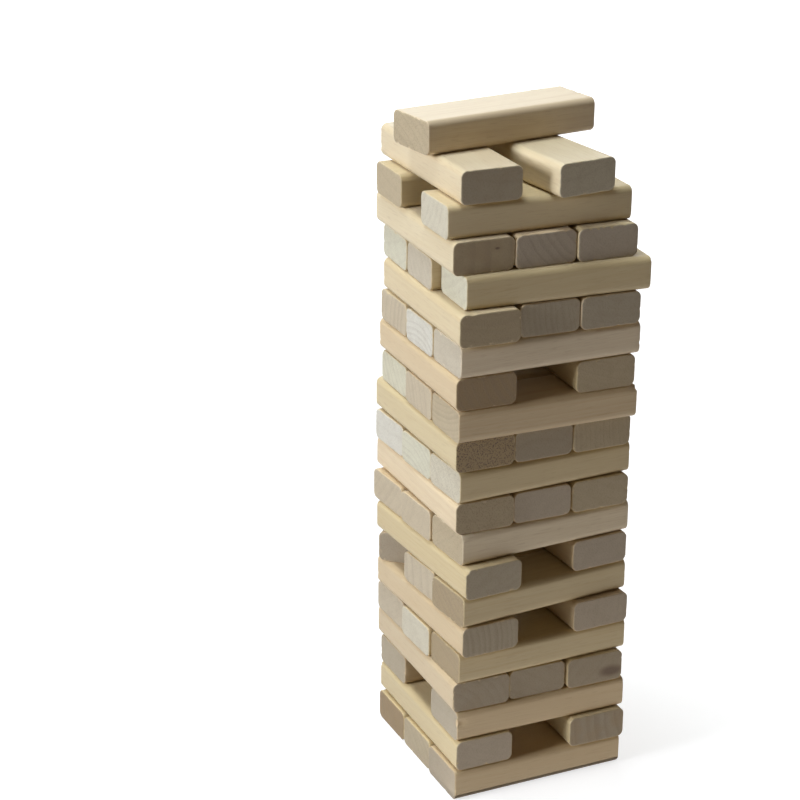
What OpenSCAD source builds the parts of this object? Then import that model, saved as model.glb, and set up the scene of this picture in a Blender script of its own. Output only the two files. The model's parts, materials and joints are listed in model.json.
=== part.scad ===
// Tumbling tower of loose wooden blocks, part of the way through a game.
//
// Courses of up to three blocks lie crosswise on each other. The blocks of an odd course
// lie along X, and those of an even course along Y. Five blocks have been drawn from the
// middle of their courses, one is swung halfway out, and the last three blocks played lie
// loosely on top. Every block is a separate solid in its own node.
//
// The origin is the centre of the bottom course's underside, and +Z is up.

/* [Block] */
// Length of a block
block_l = 58; // [48:0.5:72]
// Width of a block
block_w = 19.2; // [15:0.1:24]
// Thickness of a block, which is the height of a course
block_h = 10; // [8:0.25:12.5]
// Radius of the four long edges
edge_r = 2; // [0.5:0.1:3.5]

/* [Stack] */
// Air between neighbours in a course
side_gap = 0.2; // [0.1:0.05:1.5]
// Share of the hand-made unevenness that is carried out, 0 for a true stack
unevenness = 1; // [0:0.05:1]

/* [Swung block] */
// Turn of the half-drawn block, from its neighbours' direction
swing_turn = 40; // [25:1:60]
// Distance from its neighbour's end to the corner that it pivots on
swing_inset = 12.8; // [8:0.1:18]
// Air between that corner and the neighbour's side
swing_gap = 1; // [0.5:0.1:3]

/* [Played blocks] */
// Turn of the right-hand played block, from the left-hand one
played_turn = 7.5; // [0:0.5:12]
// Air between the two lower played blocks where they come closest
played_gap = 2.1; // [0.5:0.1:6]
// Push of the right-hand played block along its length, less than 0 towards the front
played_push = -2.7; // [-6:0.1:6]
// Turn of the topmost block
top_turn = 7.5; // [-12:0.5:12]
// Place of the topmost block's middle along X
top_x = -3.5; // [-8:0.1:8]
// Place of the topmost block's middle along Y
top_y = 5; // [-8:0.1:8]

/* [Hidden] */
$fn = 48;

// One row for each course, from the floor up: [shift along X, shift along Y, turn, blocks].
// Each block is [place, push along its own length, shift aside].
COURSES = [
    [0, 0, 0.5, [["back", 0, 0], ["middle", 0, 0], ["front", -0.4, 0]]],
    [0.5, 0.2, 0, [["left", 0.3, 0], ["right", -0.8, 0]]],
    [0.7, 0.8, 0, [["back", 0, 0], ["front", 0, 0]]],
    [-0.2, 1.4, -0.5, [["left", 0, 0], ["middle", 0.6, 0], ["right", -0.2, 0.3]]],
    [0.1, 1.2, 1.5, [["back", 0, 0], ["middle", -0.7, 0], ["front", 0, 0]]],
    [-0.5, 0, 2.5, [["left", -0.4, 0], ["right", -0.2, 0]]],
    [-1.5, 0.6, 5, [["middle", 0.9, 0], ["front", -0.2, 0]]],
    [-1.1, -0.2, 3.5, [["left", -1.2, 0], ["right", 1.4, 0]]],
    [-0.9, 1.4, 3.5, [["back", 0, 0], ["middle", -0.5, 0], ["front", 0, 0]]],
    [-0.9, 1.4, 0, [["left", -0.4, 0], ["middle", 0.2, 0], ["right", 0.4, 0.3]]],
    [-1.3, 1.4, 2.4, [["back", 0.8, 0], ["middle", 0.2, 0], ["front", 0, 0]]],
    [-1.3, 1, 0, [["left", -0.2, 0], ["middle", 0.2, 0], ["right", 0, 0]]],
    [-1.1, -2, -1, [["back", 0.2, 0], ["middle", -0.2, 0], ["front", 0, 0]]],
    [-1.6, -1, -1.4, [["left", -0.4, 0], ["right", 0, 0]]],
    [-1.1, -2, -0.6, [["back", 0, 0], ["middle", -0.2, 0], ["front", 0, 0]]],
    [-1.2, -2.6, -2, [["left", -1.4, -0.4], ["middle", 1, 0], ["right", 0.6, 0]]],
    [-0.5, -1.6, -3, [["back", -0.5, 0], ["middle", -0.3, 0], ["front", 2.5, -0.4]]],
    [-1.9, 0.8, -1.8, [["left", 0.2, 0], ["middle", 0, 0], ["right", -0.6, 0]]],
    [-2.9, 0.6, -1.5, [["back", 0, -2.2], ["front", 0, 2.6]]],
    [0.5, 2.8, -1, [["left", 0, 0]]],
];

// Numbers of the courses that the swung and the played blocks belong to
SWING_COURSE = 7;
PLAYED_COURSE = 20;
TOP_COURSE = 21;

// Pale, plain and warm pieces of the same timber, dealt out in turn
TIMBER = ["wheat", "burlywood", "tan", "navajowhite", "moccasin"];

// Where a block stands in its row, counted in widths from the middle
function lane(place) =
    place == "middle" ? 0 : (place == "back" || place == "right") ? 1 : -1;
function along_x(course) = course % 2 == 1;
function two_digits(n) = n < 10 ? str("0", n) : str(n);
function block_name(course, place) = str("course_", two_digits(course), "_", place);

// A course's own frame: turned by its turn, then shifted
function shift_of(course) = [COURSES[course - 1][0], COURSES[course - 1][1]] * unevenness;
function turn_of(course) = COURSES[course - 1][2] * unevenness;
function turned(p, a) = [p[0] * cos(a) - p[1] * sin(a), p[0] * sin(a) + p[1] * cos(a)];
function in_course(course, p) = shift_of(course) + turned(p, turn_of(course));

// A placed block is [name, middle of its underside, angle of its length from X]
function placed(course, place, p, a) =
    let (xy = in_course(course, p))
    [block_name(course, place), [xy[0], xy[1], (course - 1) * block_h], turn_of(course) + a];

function stacked(course, b) =
    let (
        push = b[1] * unevenness,
        aside = lane(b[0]) * (block_w + side_gap) + b[2] * unevenness
    )
    along_x(course)
        ? placed(course, b[0], [push, aside], 0)
        : placed(course, b[0], [aside, push], 90);

// The swung block pivots on one corner, just clear of the middle block's side
function swung() =
    let (corner = [swing_inset - block_l / 2, block_w / 2 + swing_gap])
    placed(SWING_COURSE, "back",
           corner + turned([block_l / 2, block_w / 2], swing_turn), swing_turn);

// The right-hand played block keeps its air to the left-hand one at its back end
function played_right() =
    let (
        left_side = block_w / 2 - (block_w + side_gap),
        half_across = block_l / 2 * sin(played_turn) + block_w / 2 * cos(played_turn)
    )
    placed(PLAYED_COURSE, "right",
           [left_side + played_gap + half_across, played_push], 90 + played_turn);

function topmost() =
    [block_name(TOP_COURSE, "top"),
     [top_x * unevenness, top_y * unevenness, (TOP_COURSE - 1) * block_h],
     top_turn * unevenness];

BLOCKS = concat(
    [for (i = [0 : len(COURSES) - 1]) for (b = COURSES[i][3]) stacked(i + 1, b)],
    [swung(), played_right(), topmost()]
);

// A block's cross-section, with its underside on the X axis
module section() {
    inner_w = block_w - 2 * edge_r;
    inner_h = block_h - 2 * edge_r;
    translate([-block_w / 2, edge_r]) square([block_w, inner_h]);
    translate([-inner_w / 2, 0]) square([inner_w, block_h]);
    for (x = [-inner_w / 2, inner_w / 2], y = [edge_r, block_h - edge_r])
        translate([x, y]) circle(r = edge_r);
}

// A planed bar cut square at both ends, lying along X
module block() {
    translate([-block_l / 2, 0, 0])
        rotate([90, 0, 90])
            linear_extrude(height = block_l) section();
}

module placed_block(b, timber) {
    color(timber)
        translate(b[1])
            rotate([0, 0, b[2]])
                block();
}

for (i = [0 : len(BLOCKS) - 1])
    placed_block(BLOCKS[i], TIMBER[i % len(TIMBER)]);
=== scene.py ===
# %% [markdown]
# # A tumbling tower of pine blocks
#
# The object is 54 loose bars of planed pine, stacked crosswise, part of the way through a
# game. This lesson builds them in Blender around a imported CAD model, which is the frame:
# it says where every block lies and which body it moves with. The frame is loaded first
# and never changed. Everything is in metres.

# %% Load the frame
import json
import math
import random

import bpy
import numpy as np
from mathutils import Matrix, Vector

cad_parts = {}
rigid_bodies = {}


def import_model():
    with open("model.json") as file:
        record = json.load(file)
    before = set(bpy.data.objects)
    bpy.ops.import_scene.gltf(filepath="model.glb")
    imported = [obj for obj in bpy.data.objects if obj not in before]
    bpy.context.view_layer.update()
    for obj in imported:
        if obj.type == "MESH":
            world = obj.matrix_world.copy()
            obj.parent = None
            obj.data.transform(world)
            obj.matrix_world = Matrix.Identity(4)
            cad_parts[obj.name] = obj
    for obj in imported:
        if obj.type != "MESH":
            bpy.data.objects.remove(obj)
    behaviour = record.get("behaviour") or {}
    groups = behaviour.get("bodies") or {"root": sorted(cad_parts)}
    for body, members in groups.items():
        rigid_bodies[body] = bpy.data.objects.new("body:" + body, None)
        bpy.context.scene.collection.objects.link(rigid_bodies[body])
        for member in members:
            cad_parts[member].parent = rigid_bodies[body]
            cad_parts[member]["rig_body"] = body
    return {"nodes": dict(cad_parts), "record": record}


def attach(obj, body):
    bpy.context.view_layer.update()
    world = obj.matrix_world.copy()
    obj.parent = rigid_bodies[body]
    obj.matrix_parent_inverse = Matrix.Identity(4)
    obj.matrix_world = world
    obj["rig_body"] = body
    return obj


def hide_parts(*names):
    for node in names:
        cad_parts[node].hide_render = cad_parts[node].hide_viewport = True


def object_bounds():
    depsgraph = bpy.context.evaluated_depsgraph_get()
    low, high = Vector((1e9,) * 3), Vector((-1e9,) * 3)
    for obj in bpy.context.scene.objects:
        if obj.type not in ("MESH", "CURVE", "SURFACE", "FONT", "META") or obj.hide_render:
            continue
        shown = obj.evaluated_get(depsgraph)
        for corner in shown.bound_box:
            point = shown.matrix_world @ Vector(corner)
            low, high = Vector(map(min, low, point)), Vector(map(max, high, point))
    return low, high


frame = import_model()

cad_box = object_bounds()
MM = 0.001
print("blocks in the frame:", len(frame["nodes"]))

# %% [markdown]
# ## Where each block lies
#
# A block is a plain bar, so its place is the middle of its underside and the turn of its
# length about Z. Both can be read from the CAD mesh: the direction in which its points
# spread the most is the length. Measuring them here, and not typing them in, keeps every
# piece true to the frame if the frame is packed again with another unevenness.

# %% Measure the blocks
def lie_of(node):
    """The middle of a block's underside, its turn, and its length, width and height."""
    points = np.array([v.co for v in frame["nodes"][node].data.vertices], float)
    flat = points[:, :2] - points[:, :2].mean(0)
    along = np.linalg.eigh(flat.T @ flat)[1][:, -1]
    along = along if along.sum() > 0 else -along
    across = np.array([-along[1], along[0]])
    spans = [points[:, :2] @ way for way in (along, across)]
    middle = sum(way * (s.min() + s.max()) / 2 for way, s in zip((along, across), spans))
    return {
        "middle": (middle[0], middle[1], points[:, 2].min()),
        "turn": math.atan2(along[1], along[0]),
        "size": (np.ptp(spans[0]), np.ptp(spans[1]), np.ptp(points[:, 2])),
    }


NODES = sorted(frame["nodes"])
LIES = {node: lie_of(node) for node in NODES}
LENGTH, WIDTH, HEIGHT = LIES[NODES[0]]["size"]
EDGE_RADIUS = 2 * MM
END_EASE = 0.35 * MM
print("one block:", [round(s / MM, 2) for s in (LENGTH, WIDTH, HEIGHT)], "mm")

# %% [markdown]
# ## A short way to write node trees
#
# A geometry tree and a shader tree are both sums done on sockets. Wiring Math nodes by
# hand hides the sum, so a small class wraps an output socket and turns Python's own
# operators into nodes. Numbers alone stay numbers, and one method adds any other node.
# Trees could also be drawn in the node editor and saved, but then their sums can't be read
# in this script.

# %% Wrap a socket
class Wire:
    """An output socket. Sums on it add Math nodes, or Vector Math nodes for a vector.

    Each operator has its reflected form too, so that 1 - mask works like mask - 1.
    """

    def __init__(self, graph, socket):
        self.graph, self.socket = graph, socket
        self.is_vector = socket.type in ("VECTOR", "RGBA", "ROTATION")

    def out(self, name):
        return Wire(self.graph, self.socket.node.outputs[name])

    def _sum(self, operation, *terms):
        if any(t.is_vector for t in terms if isinstance(t, Wire)):
            return self.graph.add(
                "ShaderNodeVectorMath",
                {i: t if isinstance(t, (Wire, tuple)) else (t,) * 3
                 for i, t in enumerate(terms)},
                operation=operation,
            )
        return self.graph.add(
            "ShaderNodeMath", dict(enumerate(terms)), operation=operation
        )

    def __add__(self, other):
        return self._sum("ADD", self, other)

    def __radd__(self, other):
        return self._sum("ADD", other, self)

    def __sub__(self, other):
        return self._sum("SUBTRACT", self, other)

    def __rsub__(self, other):
        return self._sum("SUBTRACT", other, self)

    def __mul__(self, other):
        return self._sum("MULTIPLY", self, other)

    def __rmul__(self, other):
        return self._sum("MULTIPLY", other, self)

    def __truediv__(self, other):
        return self._sum("DIVIDE", self, other)

    def __rtruediv__(self, other):
        return self._sum("DIVIDE", other, self)

    def __neg__(self):
        return self._sum("MULTIPLY", self, -1.0)

    def __abs__(self):
        return self._sum("ABSOLUTE", self)

    def least(self, other):
        return self._sum("MINIMUM", self, other)

    def most(self, other):
        return self._sum("MAXIMUM", self, other)

    def sign(self):
        return self._sum("SIGN", self)

    def root(self):
        return self._sum("SQRT", self)

    def floor(self):
        return self._sum("FLOOR", self)

    def fraction(self):
        return self._sum("FRACT", self)

    def size(self):
        return self.graph.add("ShaderNodeVectorMath", {0: self}, "Value", operation="LENGTH")

    def parts(self):
        first = self.graph.add("ShaderNodeSeparateXYZ", {0: self})
        return first, first.out("Y"), first.out("Z")

    def ramp(self, low, high, start=0.0, end=1.0, kind="LINEAR"):
        """From start to end while the wire goes from low to high, and flat outside."""
        return self.graph.add(
            "ShaderNodeMapRange",
            {"Value": self, "From Min": low, "From Max": high, "To Min": start, "To Max": end},
            interpolation_type=kind,
        )

    def soft(self, low, high):
        return self.ramp(low, high, kind="SMOOTHSTEP")


# %% Wrap a tree
class Graph:
    """A node tree that is written as a list of sums."""

    def __init__(self, tree):
        self.tree = tree

    def add(self, kind, inputs=None, out=0, **settings):
        """Adds a node, sets its settings first and then its sockets; gives one output."""
        node = self.tree.nodes.new(kind)
        for name, value in settings.items():
            setattr(node, name, value)
        for key, value in (inputs or {}).items():
            socket = node.inputs[key] if isinstance(key, int) else self.shown(node, key)
            if isinstance(value, Wire):
                self.tree.links.new(value.socket, socket)
            else:
                socket.default_value = value
        return Wire(self, node.outputs[out]) if node.outputs else node

    @staticmethod
    def shown(node, name):
        """The input of that name which is in use, where a node keeps one for each data type."""
        return next(s for s in node.inputs if s.name == name and s.enabled)

    def vector(self, x, y, z):
        return self.add("ShaderNodeCombineXYZ", {0: x, 1: y, 2: z})

    def noise(self, where, detail=2.0, roughness=0.5, **settings):
        inputs = {"Vector": where, "Scale": 1.0, "Detail": detail, "Roughness": roughness}
        return self.add("ShaderNodeTexNoise", inputs, **settings)

    def mix(self, factor, first, second):
        """Mixes two colours, whose sockets are a Mix node's inputs 6 and 7 and output 2."""
        inputs = {0: factor, 6: first, 7: second}
        return self.add("ShaderNodeMix", inputs, out=2, data_type="RGBA")


print("classes that write the trees:", Wire.__name__, "and", Graph.__name__)

# %% [markdown]
# ## One planed block, as a rule
#
# The real block is sawn from a planed bar whose four long edges are rounded, and then
# tumbled, which only just eases the sharp rims of its sawn ends. All 54 follow that one
# rule with small differences, so a Geometry Nodes tree makes the block, with named inputs
# for its sizes. It starts as a gridded cube, whose grid lines are first pulled close
# together at the edges, and then every point is drawn in to the rounded bar. Rounding by
# sums keeps the shell closed, where a bevel would have to guess at the corners.

# %% Name the block's inputs
block_tree = bpy.data.node_groups.new("planed_block", "GeometryNodeTree")
BLOCK_INPUTS = [
    ("Length", "Float"), ("Width", "Float"), ("Height", "Float"),
    ("Edge Radius", "Float"), ("End Ease", "Float"), ("Wear", "Float"), ("Seed", "Float"),
    ("Chip At", "Vector"), ("Chip Size", "Float"),
    ("Pith", "Vector"), ("Grain Slope", "Vector"),
    ("Side Tint", "Vector"), ("End Tint", "Vector"), ("Rings", "Vector"), ("Marks", "Vector"),
    ("Knot At", "Vector"), ("Middle", "Vector"), ("Turn", "Vector"), ("Timber", "Material"),
]
for name, kind in BLOCK_INPUTS:
    block_tree.interface.new_socket(name, in_out="INPUT", socket_type="NodeSocket" + kind)
block_tree.interface.new_socket("Block", in_out="OUTPUT", socket_type="NodeSocketGeometry")
geo = Graph(block_tree)
given = geo.add("NodeGroupInput")
length, width, height, radius, ease = (
    given.out(n) for n in ("Length", "Width", "Height", "Edge Radius", "End Ease")
)
print("inputs of the block:", len(BLOCK_INPUTS))

# %% Grid a cube and crowd its lines at the edges
CELLS = 18, 16, 11  # cells from the middle of the block to each side
FLAT = 0.5, 9 / 16, 4 / 11  # share of those cells that covers the flat of a face
FINE = 0.84, 14 / 16, 9 / 11  # share at which the last, finest cells begin
PLAIN_LENGTH = 0.40  # how far the coarse cells reach from the middle, in lengths


def crowded(t, flat_share, fine_share, flat_end, fine_end, end):
    """Spreads t, from -1 to 1, over a side with its lines crowded towards the end."""
    far = abs(t)
    reach = far.ramp(0.0, flat_share, 0.0, flat_end)
    reach = reach + far.ramp(flat_share, fine_share, 0.0, fine_end - flat_end)
    return (reach + far.ramp(fine_share, 1.0, 0.0, end - fine_end)) * t.sign()


cube = geo.add("GeometryNodeMeshCube", {
    "Size": (2.0, 2.0, 2.0), "Vertices X": 2 * CELLS[0] + 1,
    "Vertices Y": 2 * CELLS[1] + 1, "Vertices Z": 2 * CELLS[2] + 1,
})
gx, gy, gz = geo.add("GeometryNodeInputPosition").parts()
x = crowded(gx, FLAT[0], FINE[0], length * PLAIN_LENGTH, length / 2 - ease, length / 2)
y = crowded(gy, FLAT[1], FINE[1], width / 2 - radius, width / 2 - ease, width / 2)
z = crowded(gz, FLAT[2], FINE[2], height / 2 - radius, height / 2 - ease, height / 2)
print("grid cells along, across and up:", [2 * c for c in CELLS])

# %% Round the long edges, then ease the ends
TINY = 1e-9
half_w, half_h = width / 2 - radius, height / 2 - radius
dy = y - y.most(-half_w).least(half_w)
dz = z - z.most(-half_h).least(half_h)
reach = abs(dy).most(abs(dz))
to_disc = reach / (dy * dy + dz * dz).root().most(TINY)
over = (reach - (radius - ease)).most(0.0)
beyond = (abs(x) - (length / 2 - ease)).most(0.0)
to_arc = over.most(beyond) / (over * over + beyond * beyond).root().most(TINY)
drawn = to_disc * (reach.least(radius - ease) + over * to_arc) / reach.most(TINY)
eased_x = (abs(x) - beyond + beyond * to_arc) * x.sign()
rounded = geo.vector(eased_x, y - dy + dy * drawn, z - dz + dz * drawn)
bar = geo.add("GeometryNodeSetPosition", {"Geometry": cube, "Position": rounded})
print("long edges rounded to", EDGE_RADIUS / MM, "mm, ends eased to", END_EASE / MM, "mm")

# %% [markdown]
# ## Wear
#
# Blocks are dropped on the table again and again. Their rims get small nicks, and now and
# then a splinter tears out of a corner along the grain. Both take wood away, so points
# only ever move inwards, against the surface normal. Noise decides where; a splinter has
# its own place and size, and is longer along the grain than across it. A bump in the
# material would be quicker, but it leaves the outline straight, and the outline is where
# wear is seen first.

# %% Nick the rims and tear out a splinter
NICKED_BAND = 0.2 * MM, 1.6 * MM  # from an edge: where nicks are deepest, and where they end
NICKS_PER_M = 760.0
TORN_FIBRES_PER_M = (260.0, 1500.0, 1500.0)
SPLINTER_SHAPE = (0.42, 1.0, 1.0)  # longer along the grain
SEED_SLANT = 0.37  # moves the noise along Y as well, by this share of the seed
at = geo.add("GeometryNodeInputPosition")
ax, ay, az = at.parts()
from_end = length / 2 - abs(ax)
from_side = (width / 2 - abs(ay)).least(height / 2 - abs(az))
rim = 1 - (from_end * from_end + from_side * from_side).root().soft(*NICKED_BAND)
seeded = at + geo.vector(given.out("Seed"), given.out("Seed") * SEED_SLANT, 0.0)
nicks = geo.noise(seeded * NICKS_PER_M, detail=2.0).soft(0.56, 0.72) * rim
torn = geo.noise(seeded * TORN_FIBRES_PER_M, detail=1.0)
chip_size = given.out("Chip Size")
near_chip = ((at - given.out("Chip At")) * SPLINTER_SHAPE).size() / chip_size.most(TINY)
splinter = near_chip.ramp(0.35, 1.0, 1.0, 0.0) * chip_size * (torn * 0.5 + 0.25)
depth = nicks * given.out("Wear") + splinter
normal = geo.add("GeometryNodeInputNormal")
worn = geo.add("GeometryNodeSetPosition", {"Geometry": bar, "Offset": -(normal * depth)})
print("nicks reach", NICKED_BAND[1] / MM, "mm in from a rim")

# %% [markdown]
# ## The log inside the block
#
# Pine's pattern is one solid thing: rings around the pith of the log, cut through by six
# faces. If the material knows where in the log each point of the block was, the lines on
# the sides and the arcs on the ends meet at the edges by themselves. So the tree stores,
# for each point, its place in the block and its place in the log, and the block's own
# colours and marks. It is stored before the block is turned into its course, so that
# nothing slides when a block moves. Flat pictures of wood laid on each face would be
# simpler, but their lines would break at every edge.

# %% Store the places and tints, and lay the block in its course
def store(geometry, name, value):
    return geo.add(
        "GeometryNodeStoreNamedAttribute",
        {"Geometry": geometry, "Name": name, "Value": value},
        data_type="FLOAT_VECTOR", domain="POINT",
    )


tilt = given.out("Grain Slope") * geo.vector(ax, ax, ax)
in_log = at - given.out("Pith") + tilt + geo.vector(given.out("Seed"), 0.0, 0.0)
grown = store(worn, "block_at", at)
grown = store(grown, "log_at", in_log)
for name in ("Side Tint", "End Tint", "Rings", "Marks", "Knot At"):
    grown = store(grown, name.lower().replace(" ", "_"), given.out(name))
smooth = geo.add("GeometryNodeSetShadeSmooth", {"Geometry": grown})
raised = geo.add("GeometryNodeTransform", {
    "Geometry": smooth,
    "Translation": given.out("Middle") + geo.vector(0.0, 0.0, height / 2),
    "Rotation": given.out("Turn"),
})
whole = geo.add("GeometryNodeRealizeInstances", {"Geometry": raised})
finished = geo.add("GeometryNodeSetMaterial", {"Geometry": whole, "Material": given.out("Timber")})
block_tree.nodes.new("NodeGroupOutput")
block_tree.links.new(finished.socket, block_tree.nodes[-1].inputs["Block"])
print("nodes in the block's tree:", len(block_tree.nodes))

# %% [markdown]
# ## Pine, planed along the grain and sawn across it
#
# A long face shows fine, straight fibres, and the late wood of each ring as a thin, more
# orange line. A sawn end drinks in light: it is greyer, and full of tiny open pores. The
# rim between them is burnished and paler. All of it comes from the stored places, so one
# material serves every block of a timber, where painted maps would need one set each. Only
# Base Color, Roughness and the bump change over the surface.

# %% Sizes and colours of the grain
# Noise scales, in waves a metre: along the log, and both ways across it
BENDS = (14.0, 90.0, 90.0)
FINE_FIBRES = (55.0, 2600.0, 2600.0)
BROAD_FIBRES = (9.0, 520.0, 520.0)
RESIN_DUCTS = (220.0, 3000.0, 3000.0)
CLOUDS = (45.0, 170.0, 170.0)
MOTTLES = (60.0, 280.0, 280.0)
PORES = 2300.0
# How far a ring strays from a true circle, and the rings round a knot from their own
RING_WANDER, KNOT_WANDER = 1.6 * MM, 1.5 * MM
KNOT_SHAPE = (0.5, 0.55, 1.1)
DUCT_BROWN = (0.30, 0.17, 0.08, 1.0)
MOTTLE_BROWN = (0.30, 0.22, 0.13, 1.0)
RING_BROWN = (0.25, 0.19, 0.13, 1.0)
PORE_BROWN = (0.13, 0.085, 0.05, 1.0)
STAIN_BROWN = (0.36, 0.26, 0.15, 1.0)
FIBRE_GREY = (0.30, 0.24, 0.18, 1.0)
KNOT_BROWN = (0.13, 0.075, 0.045, 1.0)
print("one year bends over about", round(1 / BENDS[1], 3), "m across the log")


# %% The pine material
def pine(name, late_wood):
    material = bpy.data.materials.new(name)
    material.use_nodes = True
    material.node_tree.nodes.clear()
    g = Graph(material.node_tree)

    def stored(which):
        return g.add("ShaderNodeAttribute", out="Vector", attribute_name=which)

    block_at, log_at = stored("block_at"), stored("log_at")
    spacing, end_contrast, side_contrast = stored("rings").parts()
    speckle, stain, knot_size = stored("marks").parts()

    # Rings: distance from the pith, bent a little, and cut into years of uneven width
    bend = g.noise(log_at * BENDS, detail=1.0)
    lx, ly, lz = log_at.parts()
    from_pith = (ly * ly + lz * lz).root() + (bend - 0.5) * RING_WANDER
    knot_way = (block_at - stored("knot_at")) * KNOT_SHAPE + (bend - 0.5) * KNOT_WANDER
    knot_far = knot_way.size() / knot_size.most(TINY)
    swirl = knot_far.ramp(0.0, 3.2, 1.0, 0.0, kind="SMOOTHSTEP")
    years = from_pith / spacing + swirl * 0.9
    uneven = g.add("ShaderNodeTexNoise", {"W": years * 0.7, "Scale": 1.0, "Detail": 1.0},
                   noise_dimensions="1D")
    years = years + (uneven - 0.5) * 1.1
    phase = years.fraction()
    late = phase.soft(0.35, 0.86) * (1 - phase.soft(0.90, 1.0))
    strength = g.add("ShaderNodeTexWhiteNoise", {"W": years.floor()}, "Value",
                     noise_dimensions="1D")
    late = late * (strength * 0.6 + 0.4)

    # Fibres: noise drawn out along the grain
    fine = g.noise(log_at * FINE_FIBRES, detail=2.0)
    broad = g.noise(log_at * BROAD_FIBRES, detail=2.0)
    ducts = g.noise(log_at * RESIN_DUCTS, detail=0.0).soft(0.64, 0.74)
    pores = g.noise(block_at * PORES, detail=1.0).soft(0.50, 0.66)
    cloud = g.noise(log_at * CLOUDS, detail=1.0).soft(0.35, 0.7)

    # Where the sawn end and its burnished rim are
    bx, by, bz = block_at.parts()
    from_end = LENGTH / 2 - abs(bx)
    end = 1 - from_end.soft(0.10 * END_EASE, 0.55 * END_EASE)
    ry = (abs(by) - (WIDTH / 2 - EDGE_RADIUS)).most(0.0)
    rz = (abs(bz) - (HEIGHT / 2 - EDGE_RADIUS)).most(0.0)
    in_round = EDGE_RADIUS - (ry * ry + rz * rz).root()
    from_rim = (WIDTH / 2 - abs(by)).least(HEIGHT / 2 - abs(bz)).least(in_round)
    rim = 1 - from_rim.soft(0.2 * MM, 0.6 * MM)

    # The long sides
    side = g.mix(late * side_contrast * 0.32, stored("side_tint"), late_wood)
    side = g.mix((fine - 0.5) * 0.34 + 0.04, side, late_wood)
    side = g.mix(broad.soft(0.45, 0.75) * 0.07, side, late_wood)
    side = g.mix(ducts * 0.12, side, DUCT_BROWN)

    # The sawn ends
    mottle = g.noise(log_at * MOTTLES, detail=3.0, roughness=0.6)
    ends = g.mix(mottle.soft(0.40, 0.72) * 0.13, stored("end_tint"), MOTTLE_BROWN)
    ends = g.mix(late * end_contrast * 0.85, ends, RING_BROWN)
    ends = g.mix(pores * (speckle * 0.80 + 0.07), ends, PORE_BROWN)
    ends = g.mix(cloud * stain, ends, STAIN_BROWN)
    ends = g.mix((fine - 0.5) * 0.25 + 0.05, ends, FIBRE_GREY)
    ends = g.mix(rim * 0.20, ends, stored("side_tint"))
    colour = g.mix(end, side, ends)
    knot = 1 - knot_far.soft(0.35, 1.25)
    colour = g.mix(knot * 0.8, colour, KNOT_BROWN)

    # Fibres and late wood stand proud of the surface, and pores are sunk in it
    relief = fine * 0.5 + late * 0.35 + broad * 0.4 - pores * end * (speckle * 0.8 + 0.3)
    bump = g.add("ShaderNodeBump", {"Strength": 0.35, "Distance": 0.12 * MM, "Height": relief},
                 "Normal")
    shader = g.add("ShaderNodeBsdfPrincipled", {
        "Base Color": colour,
        "Roughness": 0.50 + end * 0.22 + (broad - 0.5) * 0.16,
        "Specular IOR Level": 0.5,
        "Sheen Weight": 0.22,
        "Sheen Roughness": 0.35,
        "Normal": bump,
    })
    g.add("ShaderNodeOutputMaterial", {"Surface": shader})
    print(name, "has", len(material.node_tree.nodes), "nodes")
    return material


TIMBERS = {
    "pine_cream": pine("pine_cream", (0.52, 0.33, 0.15, 1.0)),
    "pine_honey": pine("pine_honey", (0.44, 0.27, 0.09, 1.0)),
    "pine_rose": pine("pine_rose", (0.49, 0.30, 0.14, 1.0)),
}
print("timbers:", sorted(TIMBERS))

# %% [markdown]
# ## What makes each block its own
#
# Blocks from one box come from many boards. Each has its own tint, its own distance and direction
# to the pith, and its own years; a few have pores that show, a stain, a knot or a torn corner. All
# of that could be drawn at random, but a viewer tells blocks apart by their visible ends, so what
# each end looks like is written down one by one. Those end colours also hold painted light and
# shade: ends that face the lamp on the left get lighter colours, and ends that face the viewer in
# shade get darker ones. A seeded draw fills in the wear, the slope of the grain and the small
# differences of shade.

# %% Colours and the list of blocks
def paint(red, green, blue):
    """A colour given in the usual 0 to 255, as the linear values that shaders work in."""
    def linear(c):
        c = c / 255
        return c / 12.92 if c <= 0.04045 else ((c + 0.055) / 1.055) ** 2.4
    return linear(red), linear(green), linear(blue)


SIDE = {
    "pine_cream": paint(213, 194, 152),
    "pine_honey": paint(208, 190, 148),
    "pine_rose": paint(208, 187, 150),
}
PALEST = paint(236, 222, 196)  # what a block with pale 1 has for its sides
# These end colours are the wood's own tone plus painted light and shade. The odd courses' ends
# face the lamp on the left and get lighter colours. The even courses' ends face the viewer in
# shade and get darker ones.
END = {
    "white": paint(216, 212, 198),
    "ivory": paint(212, 208, 184),
    "cream": paint(207, 199, 176),
    "pearl": paint(198, 187, 164),
    "sand": paint(195, 181, 155),
    "lilac": paint(185, 172, 153),
    "beige": paint(184, 168, 137),
    "grey": paint(176, 164, 141),
    "olive": paint(175, 157, 124),
    "stone": paint(167, 153, 130),
    "brown": paint(160, 141, 108),
    "tan": paint(164, 140, 100),
    "umber": paint(152, 128, 92),
}
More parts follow.
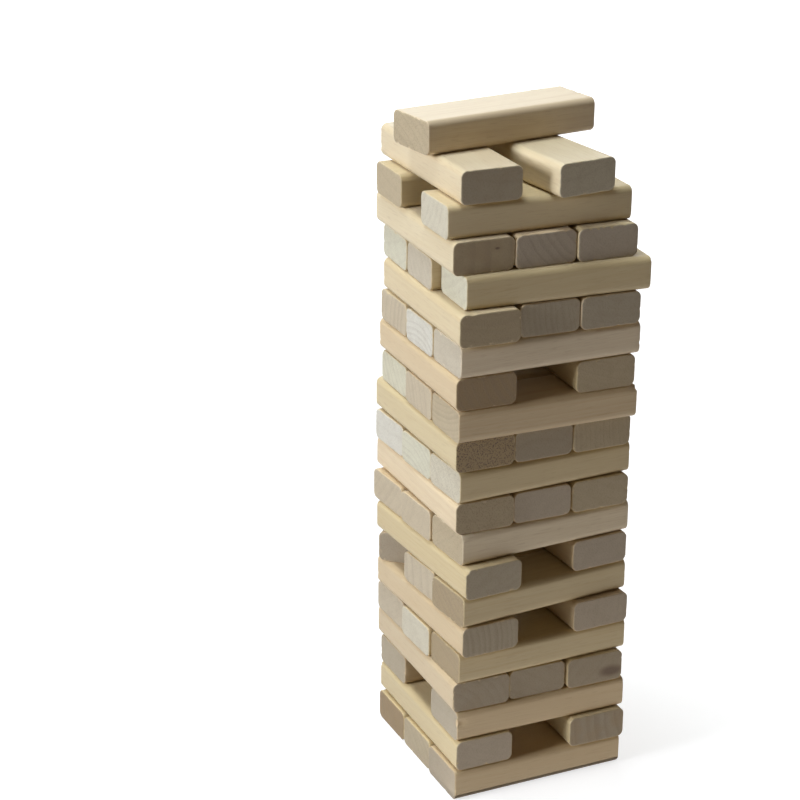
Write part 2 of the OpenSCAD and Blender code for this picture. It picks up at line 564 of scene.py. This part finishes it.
# For each block: its end's colour, the pith's direction on the end in degrees (0 right, 90
# up) and its distance in mm, the width of a year in mm, how strongly the years show on the
# end and on the sides, and its extras. A chip and a knot are x, y, z and size in mm.
LOOKS = {
    "course_01_back": ("umber", 200, 40, 2.2, 0.35, 0.3, {"stain": 0.3}),
    "course_01_middle": ("beige", 230, 35, 2.6, 0.2, 0.3, {}),
    "course_01_front": ("stone", 80, 60, 3.0, 0.1, 0.25, {}),
    "course_02_left": ("lilac", 70, 70, 2.6, 0.1, 0.3, {}),
    "course_02_right": ("stone", 8, 55, 3.4, 0.5, 0.3, {"stain": 0.5}),
    "course_03_back": ("grey", 100, 60, 2.8, 0.1, 0.3, {}),
    "course_03_front": ("grey", 95, 50, 2.2, 0.12, 0.4, {"chip": (-29, -9.7, 1.5, 1.5)}),
    "course_04_left": ("stone", 215, 22, 2.8, 0.25, 0.25, {"stain": 0.15}),
    "course_04_middle": ("stone", 60, 45, 3.6, 0.2, 0.25, {}),
    "course_04_right": ("stone", 320, 40, 3.0, 0.2, 0.25, {"knot": (-29, -5.6, -1.5, 2.4)}),
    "course_05_back": ("sand", 120, 70, 2.4, 0.1, 0.25, {}),
    "course_05_middle": ("cream", 100, 60, 3.0, 0.08, 0.25, {}),
    "course_05_front": ("brown", 70, 40, 2.0, 0.3, 0.35, {}),
    "course_06_left": ("grey", 186, 60, 1.9, 0.5, 0.35, {}),
    "course_06_right": ("lilac", 170, 60, 2.6, 0.1, 0.25, {}),
    "course_07_back": ("stone", 100, 60, 2.6, 0.1, 0.25, {}),
    "course_07_middle": ("sand", 185, 50, 4.4, 0.3, 0.25, {}),
    "course_07_front": ("brown", 55, 35, 2.2, 0.35, 0.35, {"speckle": 0.2}),
    "course_08_left": ("grey", 110, 60, 2.6, 0.1, 0.3, {"chip": (-29, 9.4, 4.6, 1.2)}),
    "course_08_right": ("lilac", 90, 60, 2.6, 0.08, 0.25, {}),
    "course_09_back": ("sand", 140, 45, 3.0, 0.15, 0.25, {}),
    "course_09_middle": ("sand", 160, 60, 3.0, 0.1, 0.25, {}),
    "course_09_front": ("beige", 130, 50, 2.6, 0.15, 0.3, {"pale": 0.8, "speckle": 0.15}),
    "course_10_left": ("olive", 90, 50, 2.2, 0.15, 0.3, {"pale": 0.35, "speckle": 0.25}),
    "course_10_middle": ("lilac", 100, 70, 2.6, 0.08, 0.25, {}),
    "course_10_right": ("beige", 60, 60, 2.6, 0.1, 0.25, {}),
    "course_11_back": ("white", 90, 60, 3.0, 0.08, 0.25, {}),
    "course_11_middle": ("ivory", 250, 22, 2.0, 0.22, 0.3, {}),
    "course_11_front": ("cream", 210, 40, 2.2, 0.15, 0.25, {"speckle": 0.2}),
    "course_12_left": ("tan", 90, 60, 2.6, 0.12, 0.3, {"speckle": 1.0}),
    "course_12_middle": ("stone", 265, 18, 3.2, 0.15, 0.25, {}),
    "course_12_right": ("beige", 5, 60, 1.6, 0.2, 0.25, {}),
    "course_13_back": ("ivory", 40, 35, 2.6, 0.2, 0.3, {}),
    "course_13_middle": ("sand", 200, 40, 2.4, 0.2, 0.3, {}),
    "course_13_front": ("beige", 100, 26, 1.6, 0.3, 0.75, {"chip": (29, -9.2, 4.7, 1.3)}),
    "course_14_left": ("umber", 25, 30, 2.8, 0.3, 0.3, {}),
    "course_14_right": ("beige", 75, 60, 2.4, 0.1, 0.25, {}),
    "course_15_back": ("sand", 350, 30, 3.0, 0.3, 0.25, {}),
    "course_15_middle": ("white", 262, 20, 2.1, 0.25, 0.3, {}),
    "course_15_front": ("pearl", 100, 60, 2.6, 0.12, 0.25, {"pale": 0.7}),
    "course_16_left": ("olive", 90, 40, 2.4, 0.12, 0.35, {
        "pale": 0.25, "chip": (-29, 5.5, 5.3, 0.9)}),
    "course_16_middle": ("grey", 10, 45, 1.8, 0.3, 0.25, {}),
    "course_16_right": ("grey", 80, 60, 2.4, 0.1, 0.25, {}),
    "course_17_back": ("ivory", 110, 60, 3.0, 0.1, 0.25, {}),
    "course_17_middle": ("pearl", 40, 35, 3.0, 0.15, 0.25, {}),
    "course_17_front": ("ivory", 120, 50, 3.0, 0.12, 0.35, {}),
    "course_18_left": ("olive", 185, 32, 5.0, 0.35, 0.3, {
        "pale": 0.3, "stain": 0.5, "knot": (-29, -4.2, 2.0, 0.5)}),
    "course_18_middle": ("lilac", 40, 24, 2.6, 0.35, 0.25, {}),
    "course_18_right": ("lilac", 60, 60, 2.6, 0.1, 0.25, {}),
    "course_19_back": ("beige", 80, 50, 2.8, 0.12, 0.25, {}),
    "course_19_front": ("cream", 150, 28, 2.8, 0.15, 0.3, {}),
    "course_20_left": ("grey", 80, 60, 3.0, 0.1, 0.3, {"pale": 0.35, "stain": 0.15}),
    "course_20_right": ("cream", 100, 60, 3.0, 0.1, 0.3, {"pale": 0.3}),
    # The top block's paler sides are partly painted light: it gets more light from the room above
    # than the lamps give it.
    "course_21_top": ("beige", 240, 30, 2.6, 0.25, 0.45, {"pale": 0.5, "speckle": 0.15}),
}
print("blocks told apart:", len(LOOKS))

# %% [markdown]
# ## Make the 54 blocks
#
# On the real object every block is loose. Each becomes an empty mesh with the tree as a
# modifier. Its inputs are set by the sockets' identifiers, the result is taken as a plain
# mesh, and the modifier goes. The piece then rides on its own body and stands for its CAD
# node. Instances of one mesh would be lighter, but every block is worn in its own way.

# %% Make, ride and replace
IDENTIFIERS = {
    item.name: item.identifier
    for item in block_tree.interface.items_tree if item.in_out == "INPUT"
}
SLOTS = {row["node"]: row["material_slot"] for row in frame["record"]["subparts"]}
BODIES = {o.name: o["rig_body"] for o in frame["nodes"].values()}
WARMING = (1, 0, -2)  # how a warmer tint changes red, green and blue


def values_of(node, draw):
    """The inputs of one block's tree."""
    end, way, distance, year, on_end, on_side, extra = LOOKS[node]
    way = math.radians(way)
    light, warm = draw.uniform(0.94, 1.04), draw.uniform(-0.02, 0.02)
    shade, tint = draw.uniform(0.985, 1.015), draw.uniform(-0.01, 0.01)
    pale = extra.get("pale", 0.0)
    timber = [c + (p - c) * pale for c, p in zip(SIDE[SLOTS[node]], PALEST)]
    side = [c * light * (1 + warm * k) for c, k in zip(timber, WARMING)]
    sawn = [c * shade * (1 + tint * k) for c, k in zip(END[end], WARMING)]
    chip = extra.get("chip", (0, 0, 0, 0))
    knot = extra.get("knot", (0, 0, 0, 0))
    length, width, height = LIES[node]["size"]
    return {
        "Length": length, "Width": width, "Height": height,
        "Edge Radius": EDGE_RADIUS, "End Ease": END_EASE,
        "Wear": draw.uniform(0.10, 0.28) * MM, "Seed": draw.uniform(0.5, 9.5),
        "Chip At": [c * MM for c in chip[:3]], "Chip Size": chip[3] * MM,
        "Pith": (0.0, -math.cos(way) * distance * MM, math.sin(way) * distance * MM),
        "Grain Slope": (0.0, draw.uniform(-0.06, 0.06), draw.uniform(-0.06, 0.06)),
        "Side Tint": side, "End Tint": sawn,
        "Rings": (year * MM, on_end, on_side),
        "Marks": (extra.get("speckle", 0.05), extra.get("stain", 0.0), knot[3] * MM),
        "Knot At": [c * MM for c in knot[:3]],
        "Middle": LIES[node]["middle"], "Turn": (0.0, 0.0, LIES[node]["turn"]),
        "Timber": TIMBERS[SLOTS[node]],
    }


def make_block(node, seed):
    name = node.replace("course", "block")
    empty = bpy.data.meshes.new(name)
    piece = bpy.data.objects.new(name, empty)
    bpy.context.scene.collection.objects.link(piece)
    rule = piece.modifiers.new("planed_block", "NODES")
    rule.node_group = block_tree
    for key, value in values_of(node, random.Random(seed)).items():
        rule[IDENTIFIERS[key]] = value
    bpy.context.view_layer.update()
    evaluated = piece.evaluated_get(bpy.context.evaluated_depsgraph_get())
    piece.data = bpy.data.meshes.new_from_object(evaluated)
    piece.data.name = name
    piece.modifiers.clear()
    bpy.data.meshes.remove(empty)
    return piece


for number, node in enumerate(NODES):
    block = make_block(node, number)
    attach(block, BODIES[node])
    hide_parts(node)
print("blocks made:", len(NODES), "with", len(block.data.polygons), "faces each")
print("stored in each:", [a.name for a in block.data.attributes])

# %% [markdown]
# ## Table and walls
#
# The tower stands on a plain white table in a white room. A plain lit plane would do, but
# it turns grey where the lamps fade and brown where the world shows behind it. So the
# table and the walls glow a little by themselves, and the blocks' shadow still falls on
# the table. Neither is seen by diffuse light, so the glow doesn't flatten the wood.

# %% Floor and room
WHITE = (1.0, 1.0, 1.0, 1.0)
WARM_DARK = (1.0, 0.72, 0.50, 1.0)  # the room's own light, which fills the gaps
NEAR_GLOW, FAR_GLOW = 0.72, 1.0  # how brightly the table glows, near the tower and far off


def glowing(name, base, glow):
    """A dull white that also glows, so that it stays pale where the lamps don't reach."""
    material = bpy.data.materials.new(name)
    material.use_nodes = True
    material.node_tree.nodes.clear()
    g = Graph(material.node_tree)
    shader = g.add("ShaderNodeBsdfPrincipled", {
        "Base Color": (base, base, base, 1.0), "Roughness": 0.9, "Specular IOR Level": 0.1,
        "Emission Color": glow(g), "Emission Strength": 1.0,
    })
    g.add("ShaderNodeOutputMaterial", {"Surface": shader})
    return material


def table_glow(g):
    from_middle = g.add("ShaderNodeTexCoord", out="Object").size()
    grey = from_middle.ramp(0.3, 1.0, NEAR_GLOW, FAR_GLOW)
    return g.vector(grey, grey, grey)


def stage_piece(name, points, faces, material, *unseen_by):
    """A piece of the set, which some kinds of ray pass through."""
    mesh = bpy.data.meshes.new(name)
    mesh.from_pydata(points, [], faces)
    mesh.materials.append(material)
    piece = bpy.data.objects.new(name, mesh)
    bpy.context.scene.collection.objects.link(piece)
    for ray in unseen_by:
        setattr(piece, "visible_" + ray, False)
    return piece


# %% Stage them
REACH = 6.0
CORNERS = (-1, -1), (1, -1), (1, 1), (-1, 1)
floor_z = cad_box[0].z - 0.02 * MM
square = [(sx * REACH, sy * REACH, floor_z) for sx, sy in CORNERS]
white_table = glowing("white_table", 0.45, table_glow)
stage_piece("table_top", square, [(0, 1, 2, 3)], white_table, "diffuse")
wall_tops = [(x, y, REACH) for x, y, z in square]
walls = [(i, 4 + i, 4 + (i + 1) % 4, (i + 1) % 4) for i in range(4)]
white_wall = glowing("white_wall", 0.0, lambda g: WHITE)
stage_piece("white_walls", square + wall_tops, walls, white_wall, "diffuse", "glossy", "shadow")

world = bpy.data.worlds.new("room")
bpy.context.scene.world = world
world.use_nodes = True
background = world.node_tree.nodes["Background"]
background.inputs["Color"].default_value = WARM_DARK
background.inputs["Strength"].default_value = 0.06
print("table and walls reach", REACH, "m each way")

# %% [markdown]
# ## Lamps
#
# The daylight comes from a window on the left, so the ends on that side are cool and
# bright and the sides facing the viewer are warm and dim. One disk lamp stands for the
# window; weaker ones above, behind and on the right fill the rest. A real table throws
# light up onto the lowest courses. Letting this one do so would make its whiteness part of
# the lighting, so three faint disks lying on it throw that light instead.

# %% Lamps
def softbox(name, place, target, size, watts, colour):
    lamp = bpy.data.lights.new(name, "AREA")
    lamp.shape, lamp.size, lamp.energy, lamp.color = "DISK", size, watts, colour
    holder = bpy.data.objects.new(name, lamp)
    holder.location = place
    holder.rotation_euler = (Vector(place) - Vector(target)).to_track_quat("Z", "Y").to_euler()
    bpy.context.scene.collection.objects.link(holder)
    return holder


middle = (cad_box[0] + cad_box[1]) / 2
softbox("key", (-1.50, -0.03, 0.62), middle, 0.50, 22.8, (0.92, 0.945, 1.0))
softbox("above", (-0.25, 0.15, 1.60), middle, 0.60, 15.0, (0.90, 0.97, 1.0))
softbox("back", (0.35, 1.60, 0.75), middle, 1.3, 11.0, (0.93, 0.97, 1.0))
softbox("right", (1.60, 0.35, 0.80), middle, 0.9, 6.0, (1.0, 0.98, 0.95))
BOUNCES = [  # name, middle in x and y, width, watts
    ("near_bounce", 0.0, -0.16, 0.28, 0.070),
    ("wide_bounce", 0.0, -0.42, 0.82, 0.41),
    ("back_bounce", 0.2, 0.2, 0.46, 0.12),
]
for name, x, y, width, watts in BOUNCES:
    bounce = softbox(name, (x, y, 2 * MM), (x, y, 1.0), width, watts, (1.0, 0.96, 0.90))
    bounce.visible_camera = False
print("lamps:", len(bpy.data.lights))

# %% [markdown]
# ## Camera
#
# A long lens a little above the tower's top looks down along its front edge, so that two
# faces and the top of each course show. Its turn is written as three angles. A Track To
# constraint would aim it too, but couldn't give it the slight roll.

# %% Camera
YAW, PITCH, ROLL = (math.radians(a) for a in (-24.2, -21.64, 0.42))
level = math.cos(PITCH)
forward = Vector((-math.sin(YAW) * level, math.cos(YAW) * level, math.sin(PITCH)))
right = forward.cross(Vector((0, 0, 1))).normalized()
up = right.cross(forward)
tilted_right = right * math.cos(ROLL) + up * math.sin(ROLL)
tilted_up = up * math.cos(ROLL) - right * math.sin(ROLL)
eye = bpy.data.objects.new("eye", bpy.data.cameras.new("eye"))
eye.data.lens, eye.data.sensor_width = 97.2, 36.0
eye.data.clip_start, eye.data.clip_end = 0.01, 50.0
axes = Matrix((tilted_right, tilted_up, -forward)).transposed()
eye.matrix_world = Matrix.Translation((-0.28096, -0.5461, 0.3613)) @ axes.to_4x4()
bpy.context.scene.collection.objects.link(eye)
bpy.context.scene.camera = eye
bpy.context.scene.view_settings.view_transform = "Standard"
print("camera looks along", [round(c, 3) for c in forward])

# %% [markdown]
# ## Finish
#
# The finished blocks have to fill the space of the CAD blocks, because other parts are
# placed by the CAD.

# %% Show the CAD box and finish
print("CAD box", [tuple(round(v, 4) for v in c) for c in cad_box])
